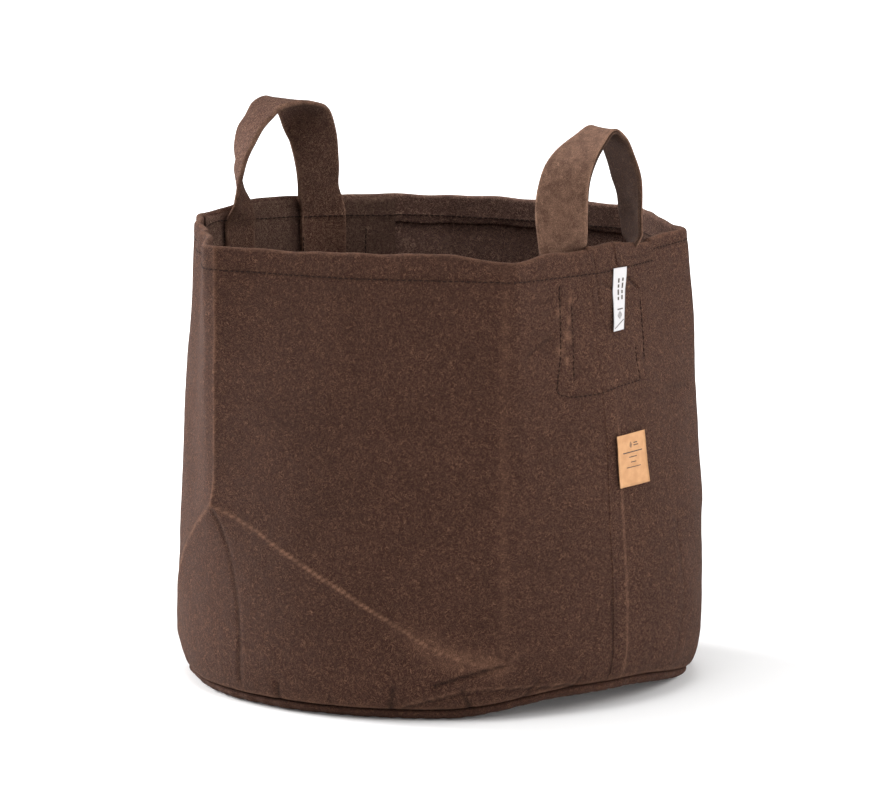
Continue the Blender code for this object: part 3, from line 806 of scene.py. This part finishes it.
def build_stitches():
    """Every seam's thread, by the node it stands for."""
    side = [along_line(SIDE_LINE, buried_lift), along_line(SIDE_LINE, inside_lift)]
    made = {
        "hem_stitch": stitch_mesh("hem_stitches", both_faces(HEM_LINE), 1),
        "side_seam_stitch": stitch_mesh("side_seam_stitches", side, 2),
        "base_seam_stitch": stitch_mesh("base_seam_stitches", [base_seam_line()], 3),
    }
    for key, boxes in (("right", RIGHT_BOXES), ("left", LEFT_BOXES)):
        lines = [line for path in boxes for line in both_faces(path)]
        made[f"strap_{key}_stitch"] = stitch_mesh(f"strap_{key}_stitches", lines, 4)
        lines = [along_line(patch_edge_line(key), inside_lift)]
        made[f"patch_{key}_stitch"] = stitch_mesh(f"patch_{key}_stitches", lines, 5)
    return made


# --- Labels ---
TAG_TOP = (2.5, 318.0)
TAG_SIZE = (14.0, 44.0)
TAG_START = math.radians(-5.0)
TAG_TWIST = math.radians(17.0)
TAG_DRIFT = -11.0  # sideways hang from top to bottom
TAG_REACH = 163.5  # wall's radius behind the top of the ribbon
TAG_FLARE = 7.0  # how much wider the bag is behind its foot
TAG_CLEAR = 1.6
CARD_MIDDLE = (-1.25, 181.0)
CARD_SIZE = (29.5, 38.0)
CARD_REACH = 169.0  # wall radius behind the card
CARD_LEAN = 2.5
CARD_STAND = 2.3  # paper's middle from the wall, over the seam's thread
SHEET_THICK = 0.5  # ribbon and paper
INK_LIFT = 0.33  # print from the middle of the paper


def tag_point(u, v, lift=0.0):
    """u across from -0.5 to 0.5, v down from 0 to 1, on the hanging ribbon."""
    u, v = np.broadcast_arrays(np.asarray(u, float), np.asarray(v, float))
    turn = TAG_START + TAG_TWIST * smooth(v)
    across = u * TAG_SIZE[0]
    out = TAG_CLEAR + TAG_SIZE[0] / 2 * np.abs(np.sin(turn)) - across * np.sin(turn)
    side = across * np.cos(turn) + TAG_DRIFT * v
    turn_to = np.radians(TAG_TOP[0]) + side / TAG_REACH
    reach = TAG_REACH + TAG_FLARE * v + out + lift
    return polar(reach, turn_to, TAG_TOP[1] - v * TAG_SIZE[1])


def card_point(u, v, lift=0.0):
    """u across and v up in millimetres from the middle of the paper label."""
    lean = math.radians(CARD_LEAN)
    across = u * math.cos(lean) - v * math.sin(lean)
    up = u * math.sin(lean) + v * math.cos(lean)
    theta = CARD_MIDDLE[0] + np.degrees(across / CARD_REACH)
    z = CARD_MIDDLE[1] + up
    curl = 0.0016 * u * u + 0.0009 * (v + 4) ** 2
    return wall_points(theta, z, CARD_STAND + curl + lift)


def thin_sheet(name, spot, us, vs):
    """Closed thin sheet made of one face pushed a little off another."""
    grid_u, grid_v = np.meshgrid(us, vs)
    front = spot(grid_u, grid_v, SHEET_THICK / 2)
    back = spot(grid_u, grid_v, -SHEET_THICK / 2)
    points = np.concatenate([front, back[::-1]])
    flat = laid_flat(us, np.concatenate([vs, vs[::-1], vs[:1]]))
    return grid_mesh(name, points, flat, ring=(True, False))


def printed_bars(name, spot, bars, lift):
    """Small printed marks: each is a middle, a length and a height on a label."""
    steps = np.linspace(-0.5, 0.5, 7)
    points = []
    faces = []
    for u, v, long, high in bars:
        start = len(points)
        points += [spot(u + long * s, v + high * t, lift) for s in steps for t in (-0.5, 0.5)]
        faces += [(a, a + 2, a + 3, a + 1) for a in range(start, len(points) - 2, 2)]
    faces = np.array(faces)
    return raw_mesh(name, np.array(points), faces, np.zeros((faces.size, 2)))


def leaf_bars(u, v, size):
    """Rows of bars that together fill a small leaf shape."""
    rows = 9
    bars = []
    for k in range(rows):
        t = (k + 0.5) / rows
        width = size * 0.55 * math.sin(math.pi * t ** 0.8)
        bars.append((u, v + size * (t - 0.5), width, size / rows * 0.55))
    return bars


def tag_marks():
    """Woven marks: two columns of bars, a rule, a leaf and a slanting line."""
    marks = []
    for column, lengths in ((-0.10, (4, 3, 5, 3)), (0.22, (3, 5, 3, 4))):
        start = 0.16
        for size in lengths:
            marks.append((column, start + size / 92.0, 0.12, size / 46.0 * 0.8))
            start += size / 46.0 + 0.012
    marks.append((0.05, 0.66, 0.5, 0.02))
    for t in (np.arange(7) + 0.5) / 7:
        marks.append((0.02, 0.69 + 0.13 * t, 0.42 * math.sin(math.pi * t), 0.009))
    for t in (np.arange(9) + 0.5) / 9:
        marks.append((0.84 * t - 0.42, 0.955 - 0.12 * t, 0.11, 0.016))
    return marks


def card_marks():
    """Printed marks: a small leaf with two short bars beside it, a rule and three lines."""
    marks = leaf_bars(-1.6, 11.0, 4.6)
    marks += [(3.4, 12.0, 4.0, 0.7), (3.8, 10.2, 5.0, 0.7), (0.0, 5.6, 20.0, 0.75)]
    return marks + [(0.0, 2.0, 8.0, 0.6), (0.2, -1.8, 5.5, 0.6), (0.0, -5.4, 14.0, 0.55)]


def build_labels():
    tag = thin_sheet("ribbon_tag", tag_point, np.linspace(-0.5, 0.5, 15),
                     np.linspace(0.0, 1.0, 47))
    print_tag = printed_bars("tag_print", tag_point, tag_marks(), INK_LIFT + 0.01)
    wide, tall = CARD_SIZE[0] / 2, CARD_SIZE[1] / 2
    card = thin_sheet("paper_card", card_point, np.linspace(-wide, wide, 12),
                      np.linspace(-tall, tall, 17))
    print_card = printed_bars("card_print", card_point, card_marks(), INK_LIFT)
    return tag, print_tag, card, print_card


# --- Materials ---
# Felts: darkest shade, body, pale fibres, and how far the fibres are turned.
FELTS = {
    "felt_outer": ((0.031, 0.0128, 0.0086), (0.069, 0.0302, 0.0212), (0.30, 0.153, 0.096), 0.0),
    "felt_bottom": ((0.034, 0.0140, 0.0094), (0.078, 0.034, 0.0235), (0.22, 0.110, 0.068), 17.0),
    # patch felt: lighter than the wall's felt, as painted light inside the bag
    "felt_patch_painted_light": ((0.050, 0.0250, 0.0180), (0.110, 0.058, 0.044), (0.34, 0.215, 0.150), 40.0),
    # strap felt: lighter than the wall's felt, partly as painted light on the straps
    "felt_webbing": ((0.046, 0.0202, 0.0136), (0.106, 0.0476, 0.0330), (0.43, 0.250, 0.167),
                     64.0),
}
FIBRE_LEANS = (-78.0, -52.0, -29.0, -4.0, 21.0, 43.0, 66.0)
FIBRE_LENGTH = 0.0036
FIBRE_WIDTH = 0.00032
FIBRE_WANDER = 0.006  # how far the fibres are pushed off their straight way
CREASE_SHADE = (0.010, 0.006, 0.005)
INSIDE_PAINTED_LIGHT = (2.5, 3.1, 3.6)  # painted light: the inner face is brightened as if lit through the mouth


def rgba(colour):
    return (*colour, 1.0)


class Nodes:
    """Short way to add and join shader nodes."""

    def __init__(self, name):
        self.mat = bpy.data.materials.new(name)
        self.mat.use_nodes = True
        self.tree = self.mat.node_tree
        self.shader = self.tree.nodes["Principled BSDF"]

    def put(self, node, key, value):
        """Join an output to a node's input, or set the input to a value."""
        if isinstance(value, bpy.types.NodeSocket):
            self.tree.links.new(value, node.inputs[key])
        else:
            node.inputs[key].default_value = value

    def add(self, kind, inputs=None, **settings):
        node = self.tree.nodes.new("ShaderNode" + kind)
        for key, value in settings.items():
            setattr(node, key, value)
        for key, value in (inputs or {}).items():
            self.put(node, key, value)
        return node

    def noise(self, place, scale, detail, dimensions="3D"):
        inputs = {"Vector": place, "Scale": scale, "Detail": detail}
        return self.add("TexNoise", inputs, noise_dimensions=dimensions).outputs[0]

    def vector(self, operation, first, key, second):
        return self.add("VectorMath", {0: first, key: second}, operation=operation).outputs[0]

    def math(self, operation, first, second):
        return self.add("Math", {0: first, 1: second}, operation=operation).outputs[0]

    def largest(self, values):
        top = values[0]
        for value in values[1:]:
            top = self.math("MAXIMUM", top, value)
        return top

    def blend(self, factor, first, second, mode="MIX"):
        inputs = {0: factor, 6: first, 7: second}
        return self.add("Mix", inputs, data_type="RGBA", blend_type=mode).outputs[2]

    def ramp(self, value, low, high, start=0.0, finish=1.0):
        inputs = {0: value, 1: low, 2: high, 3: start, 4: finish}
        return self.add("MapRange", inputs, interpolation_type="SMOOTHSTEP").outputs[0]

    def grey(self, value):
        return self.add("CombineColor", {0: value, 1: value, 2: value}).outputs[0]

    def mark(self, name):
        return self.add("Attribute", attribute_name=name).outputs[2]

    def finish(self, colour, sockets, height=None, strength=0.0, depth=0.0):
        """Give the shader its colour, its other inputs and its bump."""
        self.put(self.shader, "Base Color", colour)
        for key, value in sockets.items():
            self.put(self.shader, key, value)
        if height is not None:
            bump = {"Strength": strength, "Distance": depth, "Height": height}
            self.put(self.shader, "Normal", self.add("Bump", bump).outputs[0])
        return self.mat


def streaks(net, place, lean, size, low, high):
    """Thin fibres that lie one way: noise stretched along a direction."""
    mapped = net.add("Mapping", {0: place, 2: (0.0, 0.0, math.radians(lean)),
                                 3: (size[0], size[1], 1.0)}, vector_type="TEXTURE")
    return net.ramp(net.noise(mapped.outputs[0], 1.0, 1.0, "2D"), low, high)


def felt(name, deep, body, light, turned):
    """Needled felt: tangled fibres of several shades, rubbed paler along the folds; painted light
    on the inner face and painted shade in creases and seams come from the marks.
    """
    net = Nodes(name)
    uv = net.add("UVMap", uv_map="cloth").outputs[0]
    warp = net.add("TexNoise", {"Vector": uv, "Scale": 90.0, "Detail": 2.0},
                   noise_dimensions="2D").outputs[1]
    warp = net.vector("SUBTRACT", warp, 1, (0.5, 0.5, 0.5))
    place = net.vector("ADD", uv, 1, net.vector("SCALE", warp, "Scale", FIBRE_WANDER))
    fibres = []
    holes = []
    for k, lean in enumerate(FIBRE_LEANS):
        size = (FIBRE_LENGTH + 0.0006 * (k % 3), FIBRE_WIDTH + 0.00004 * (k % 2))
        fibres.append(streaks(net, place, lean + turned, size, 0.685, 0.75))
        holes.append(streaks(net, place, lean + 13.0 + turned, (size[0] * 0.7, size[1] * 1.4),
                             0.64, 0.76))
    fibre = net.largest(fibres)
    shade = net.largest(holes)
    grain = net.noise(uv, 1300.0, 2.0, "2D")
    cloud = net.noise(uv, 22.0, 4.0, "2D")
    patchy = net.noise(uv, 130.0, 3.0, "2D")
    colour = net.blend(net.ramp(grain, 0.22, 0.72), rgba(deep), rgba(body))
    colour = net.blend(net.math("MULTIPLY", shade, 0.45), colour, rgba(deep))
    amount = net.math("MULTIPLY", fibre, net.ramp(patchy, 0.30, 0.75, 0.50, 0.80))
    colour = net.blend(amount, colour, rgba(light))
    colour = net.blend(1.0, colour, net.grey(net.ramp(cloud, 0.25, 0.75, 0.95, 1.05)), "MULTIPLY")
    # pale mark: rubbed fibres, with painted light on the rim's fold and a strap's front
    wear_and_painted_light = net.math("MULTIPLY", net.mark("pale"), net.ramp(patchy, 0.34, 0.60, 0.45, 1.0))
    wear_and_painted_light = net.math("MULTIPLY", wear_and_painted_light, net.ramp(grain, 0.35, 0.6, 0.6, 1.0))
    colour = net.blend(wear_and_painted_light, colour, rgba(c * 1.15 for c in light))
    # painted light: the inner face is brightened where the inside mark lies
    brightened_inside = net.blend(1.0, colour, rgba(INSIDE_PAINTED_LIGHT), "MULTIPLY")
    colour = net.blend(net.mark("inside"), colour, brightened_inside)
    # painted shade: creases, seams, the lap's edge and strap undersides darkened
    colour = net.blend(net.mark("painted_shade"), colour, rgba(CREASE_SHADE))
    height = net.math("ADD", net.math("MULTIPLY", fibre, 0.7), net.math("MULTIPLY", grain, 0.8))
    height = net.math("SUBTRACT", height, net.math("MULTIPLY", shade, 0.5))
    sockets = {
        "Roughness": net.ramp(patchy, 0.3, 0.7, 0.87, 0.98),
        "Specular IOR Level": 0.10,
        "Sheen Weight": 0.04,
        "Sheen Roughness": 0.55,
        "Sheen Tint": (0.75, 0.55, 0.45, 1.0),
    }
    return net.finish(colour, sockets, height, 0.75, 0.0007)


def thread_material():
    net = Nodes("sewing_thread")
    place = net.add("TexCoord").outputs["Object"]
    twist = net.noise(place, 1600.0, 1.0)
    colour = net.blend(twist, (0.013, 0.007, 0.0055, 1.0), (0.034, 0.018, 0.013, 1.0))
    sockets = {"Specular IOR Level": 0.12, "Roughness": 0.85}
    return net.finish(colour, sockets, twist, 0.5, 0.0002)


def ribbon_material():
    """White satin ribbon with its fine cross weave."""
    net = Nodes("woven_ribbon")
    uv = net.add("UVMap", uv_map="cloth").outputs[0]
    weave = net.add("TexWave", {"Vector": uv, "Scale": 260.0, "Distortion": 1.2,
                                "Detail": 1.0}, bands_direction="Y").outputs[1]
    soil = net.noise(uv, 160.0, 3.0)
    colour = net.blend(net.ramp(soil, 0.3, 0.7), (0.63, 0.605, 0.612, 1.0),
                       (0.69, 0.667, 0.676, 1.0))
    colour = net.blend(net.math("MULTIPLY", weave, 0.12), colour, (0.48, 0.457, 0.466, 1.0))
    return net.finish(colour, {"Roughness": 0.62, "Sheen Weight": 0.12}, weave, 0.35, 0.0002)


def card_material():
    """Unbleached kraft paper with its pulp flecks."""
    net = Nodes("kraft_paper")
    place = net.add("TexCoord").outputs["Object"]
    pulp = net.noise(place, 1300.0, 3.0)
    cloud = net.noise(place, 170.0, 3.0)
    colour = net.blend(net.ramp(cloud, 0.3, 0.7), (0.565, 0.293, 0.138, 1.0),
                       (0.645, 0.350, 0.172, 1.0))
    colour = net.blend(net.ramp(pulp, 0.62, 0.74, 0.0, 0.35), colour, (0.42, 0.22, 0.11, 1.0))
    sockets = {"Roughness": 0.78, "Specular IOR Level": 0.3}
    return net.finish(colour, sockets, pulp, 0.25, 0.0002)


def ink_material():
    net = Nodes("label_ink")
    place = net.add("TexCoord").outputs["Object"]
    colour = net.blend(net.noise(place, 2200.0, 2.0), (0.018, 0.015, 0.014, 1.0),
                       (0.11, 0.08, 0.06, 1.0))
    return net.finish(colour, {"Roughness": 0.7})


def floor_material():
    """Pale studio floor that glows as painted light, brightening to white away from the bag."""
    net = Nodes("studio_floor")
    place = net.add("TexCoord").outputs["Object"]
    cloud = net.noise(place, 1.5, 2.0)
    colour = net.blend(cloud, (0.94, 0.94, 0.94, 1.0), (0.96, 0.96, 0.96, 1.0))
    away = net.add("VectorMath", {0: place}, operation="LENGTH").outputs[1]
    sockets = {
        # painted light: the glow is faint near the bag and almost white from 2.6 m away
        "Emission Color": net.grey(net.ramp(away, 0.7, 2.6, 0.06, 0.95)),
        "Emission Strength": 1.0,
        "Roughness": 0.9,
        "Specular IOR Level": 0.1,
    }
    return net.finish(colour, sockets)


# --- Stage ---
WORLD_LIGHT = 0.36
LIT_POINT = (0.0, 0.0, 0.2)
# Soft lights: place, width, power.
LAMPS = {
    "key": ((-2.6, -0.55, 1.1), 1.6, 140.0),
    "top": ((0.25, -0.35, 2.6), 1.8, 36.0),
    "right": ((2.3, 0.3, 1.2), 1.4, 16.0),
    "fill": ((1.5, 2.0, 1.2), 1.4, 30.0),
}


def build_stage():
    points = np.array([(-9, -9, 0), (9, -9, 0), (9, 9, 0), (-9, 9, 0)], float)
    floor = raw_mesh("studio_floor", points, np.array([(0, 1, 2, 3)]), points[:, :2])
    floor.data.materials.append(floor_material())
    world = bpy.data.worlds.new("studio")
    bpy.context.scene.world = world
    world.use_nodes = True
    world.node_tree.nodes["Background"].inputs[0].default_value = (1.0, 1.0, 1.0, 1.0)
    world.node_tree.nodes["Background"].inputs[1].default_value = WORLD_LIGHT
    for name, (place, size, power) in LAMPS.items():
        lamp(name, place, size, power)


def place_object(name, data, place, target):
    """Put a light or a camera in the scene, turned to face a point."""
    obj = bpy.data.objects.new(name, data)
    bpy.context.scene.collection.objects.link(obj)
    obj.location = place
    obj.rotation_euler = (Vector(target) - obj.location).to_track_quat("-Z", "Y").to_euler()
    return obj


def lamp(name, place, size, power):
    light = bpy.data.lights.new(name, "AREA")
    light.shape = "DISK"
    light.size = size
    light.energy = power
    place_object(name, light, place, LIT_POINT)


def build_camera():
    """Camera that looks at a point a little above and beside the bag's middle."""
    turn = math.radians(VIEW_AZIMUTH)
    tilt = math.radians(VIEW_ELEVATION)
    middle = np.append(CENTRE, VIEW_HEIGHT) * MM
    away = np.array([math.sin(turn) * math.cos(tilt), -math.cos(turn) * math.cos(tilt),
                     math.sin(tilt)])
    right = np.array([math.cos(turn), math.sin(turn), 0.0])
    target = middle + right * VIEW_SHIFT[0] * MM + np.array([0.0, 0.0, VIEW_SHIFT[1] * MM])
    camera = bpy.data.cameras.new("camera")
    camera.sensor_width = SENSOR
    camera.lens = LENS
    camera.clip_end = 60.0
    place = middle + away * VIEW_DISTANCE
    bpy.context.scene.camera = place_object("camera", camera, place, target)


def finish_piece(obj, material, body, slot, *nodes):
    obj.data.materials.clear()
    obj.data.materials.append(material)
    if body:
        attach(obj, body)
    if nodes:
        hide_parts(*nodes)


def add_handle(key, felts):
    """A strap that bends at the rim, and the patch sewn in behind its ends."""
    start, finish = PATCHES[key]
    patch = build_patch("patch_" + key + "_cloth", start, finish)
    finish_piece(patch, felts["felt_patch_painted_light"], "bag", "felt_patch", "patch_" + key)
    strap = build_strap("strap_" + key, *STRAPS[key])
    finish_piece(strap, felts["felt_webbing"], None, "felt_strap", f"strap_{key}_tail_near",
                 f"strap_{key}_tail_far", "handle_" + key)
    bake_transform(strap)


def add_labels():
    """The ribbon, which bends under its stitch, and the paper label."""
    ink = ink_material()
    tag, tag_print, card, card_print = build_labels()
    finish_piece(tag, ribbon_material(), None, "tag_white", "tag_woven")
    finish_piece(tag_print, ink, None, "tag_white")
    for piece in (tag, tag_print):
        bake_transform(piece)
    finish_piece(card, card_material(), "bag", "card_kraft", "label_card")
    finish_piece(card_print, ink, "bag", "card_kraft")
    return tag, tag_print


def main():
    felts = {name: felt(name, *shades) for name, shades in FELTS.items()}
    wall = build_wall()
    finish_piece(wall, felts["felt_outer"], "bag", "felt_wall", "wall_felt")
    base = build_base()
    finish_piece(base, felts["felt_bottom"], "bag", "felt_base", "base_felt")
    for key in STRAPS:
        add_handle(key, felts)
    thread = thread_material()
    for node, obj in build_stitches().items():
        finish_piece(obj, thread, "bag", "thread_dark", node)
    tag, tag_print = add_labels()
    build_stage()
    build_camera()
    bpy.context.scene.view_settings.view_transform = "Standard"


main()
